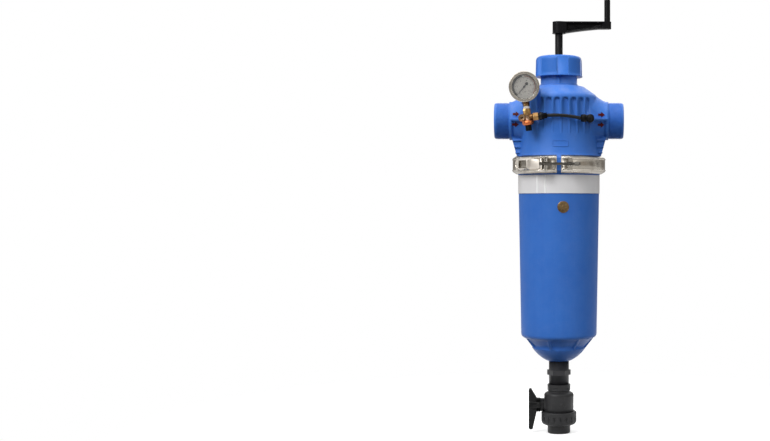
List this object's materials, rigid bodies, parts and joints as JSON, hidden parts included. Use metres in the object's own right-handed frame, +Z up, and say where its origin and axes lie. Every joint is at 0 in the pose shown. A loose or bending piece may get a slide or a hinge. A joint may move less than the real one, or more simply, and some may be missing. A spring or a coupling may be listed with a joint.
{
  "type": "irrigation filter",
  "caption": "Upright plastic irrigation filter with side ports, clamped bowl, hand-cranked suction scanner, pressure gauge and drain ball valve.",
  "frame": {"origin": "on the filter's vertical axis, at the mouth of the drain outlet", "axes": "+Z up along the filter's axis, +X towards the outlet port, -Y towards the gauge at the front"},
  "size_m": [0.3096, 0.2468, 1.042],
  "materials": {
    "blue_moulding": "moulded blue plastic, satin",
    "cap_blue": "moulded blue plastic, satin",
    "black_plastic": "moulded black plastic, satin",
    "hose_black": "smooth black hose",
    "grey_pvc": "dark grey plastic",
    "pipe_grey": "light grey plastic",
    "stainless": "pressed and polished",
    "steel": "plated steel",
    "label": "bare printed film",
    "seal_brown": "gold-brown stamped disc",
    "brass": "machined",
    "rubber": "black rubber",
    "white_plastic": "slippery white plastic",
    "ball_grey": "polished plastic",
    "glass": "clear",
    "dial": "printed dial",
    "pointer_black": "black"
  },
  "bodies": {
    "housing": {"head": "blue_moulding", "bowl": "blue_moulding", "seal_rings": "rubber", "label_band": "label", "seal_disc": "seal_brown", "screw_bush": "black_plastic", "screen_cage": "pipe_grey", "screen_mesh": "stainless", "screen_top_ring": "pipe_grey", "screen_foot_ring": "pipe_grey", "drain_nipple": "grey_pvc", "spigot_guide": "grey_pvc", "valve_body": "grey_pvc", "ball_seats": "white_plastic", "seat_carrier": "grey_pvc", "union_nut": "grey_pvc", "end_connector": "grey_pvc", "gauge_case": "stainless", "gauge_bezel": "stainless", "gauge_glass": "glass", "gauge_dial": "dial", "gauge_stem": "brass", "gauge_valve_body": "brass", "hose_connector": "black_plastic", "hose_elbow": "black_plastic", "gauge_hose": "hose_black"},
    "clamp_left": {"clamp_half_left": "stainless", "clamp_pins": "stainless"},
    "clamp_right": {"clamp_half_right": "stainless"},
    "lever": {"clamp_lever": "stainless", "lever_bolt_pin": "stainless"},
    "bolt": {"tie_bolt": "steel", "tie_bolt_nut": "steel"},
    "slip_ring": {"cap_slip_ring": "white_plastic"},
    "screw_cap": {"cap": "cap_blue"},
    "washer": {"stop_washer": "black_plastic"},
    "scanner": {"crank_shaft": "black_plastic", "crank_arm_screw": "steel", "crank_arm": "black_plastic", "crank_grip_pin": "steel", "pipe_plug": "black_plastic", "nozzle_screws": "steel", "scanner_pipe": "pipe_grey", "pipe_end_socket": "black_plastic", "drain_spigot": "black_plastic", "nozzle_1": "black_plastic", "nozzle_2": "black_plastic", "nozzle_3": "black_plastic", "nozzle_4": "black_plastic", "nozzle_5": "black_plastic", "nozzle_6": "black_plastic", "nozzle_7": "black_plastic", "nozzle_8": "black_plastic"},
    "grip": {"crank_grip": "black_plastic"},
    "drain_ball": {"valve_ball": "ball_grey", "valve_stem": "ball_grey", "stem_orings": "rubber", "valve_handle": "black_plastic"},
    "pointer": {"gauge_pointer": "pointer_black"},
    "gauge_knob": {"gauge_valve_knob": "black_plastic"}
  },
  "joints": [
    {"name": "scanner_lift", "type": "slide", "parent": "housing", "child": "washer", "axis": [0, 0, 1], "range_m": [-0.051, 0]},
    {"name": "scanner_turn", "type": "hinge", "parent": "washer", "child": "scanner", "pos_m": [0, 0, 0.9], "axis": [0, 0, 1], "range_deg": [-3061, 0]},
    {"name": "grip_spin", "type": "hinge", "parent": "scanner", "child": "grip", "pos_m": [0.1165, 0, 1.01], "axis": [0, 0, 1], "continuous": true},
    {"name": "cap_lift", "type": "slide", "parent": "housing", "child": "slip_ring", "axis": [0, 0, 1], "range_m": [0, 0.0025]},
    {"name": "cap_turn", "type": "hinge", "parent": "slip_ring", "child": "screw_cap", "pos_m": [0, 0, 0.88], "axis": [0, 0, 1], "range_deg": [0, 180.1]},
    {"name": "clamp_left_open", "type": "hinge", "parent": "housing", "child": "clamp_left", "pos_m": [0, 0.1167, 0.6434], "axis": [0, 0, -1], "range_deg": [0, 8.1]},
    {"name": "clamp_right_open", "type": "hinge", "parent": "housing", "child": "clamp_right", "pos_m": [0, 0.1167, 0.6434], "axis": [0, 0, 1], "range_deg": [0, 8.1]},
    {"name": "clamp_lever_swing", "type": "hinge", "parent": "clamp_left", "child": "lever", "pos_m": [-0.03085, -0.1186, 0.6434], "axis": [0, 0, 1], "range_deg": [0, 95]},
    {"name": "tie_bolt_swing", "type": "hinge", "parent": "lever", "child": "bolt", "pos_m": [-0.041, -0.1186, 0.6434], "axis": [0, 0, -1], "range_deg": [0, 171.5]},
    {"name": "drain_valve_turn", "type": "hinge", "parent": "housing", "child": "drain_ball", "pos_m": [-0.03, 0, 0.067], "axis": [-1, 0, 0], "range_deg": [0, 90]},
    {"name": "gauge_valve_turn", "type": "hinge", "parent": "housing", "child": "gauge_knob", "pos_m": [-0.0707, -0.101, 0.72812], "axis": [-0.1045, 0, 0.9945], "range_deg": [0, 180]},
    {"name": "gauge_pointer_turn", "type": "hinge", "parent": "housing", "child": "pointer", "pos_m": [-0.0806, -0.101, 0.8223], "axis": [0, 1, 0], "range_deg": [0, 270], "stiffness_Nm_per_rad": 0.0008}
  ],
  "couplings": [
    {"joint": "scanner_turn", "follows": "scanner_lift", "rad_per_m": 1047.2},
    {"joint": "cap_turn", "follows": "cap_lift", "rad_per_m": 1256.6},
    {"joint": "clamp_left_open", "follows": "clamp_lever_swing", "ratio": 0.084211},
    {"joint": "clamp_right_open", "follows": "clamp_lever_swing", "ratio": 0.084211},
    {"joint": "tie_bolt_swing", "follows": "clamp_lever_swing", "ratio": 1.8}
  ]
}
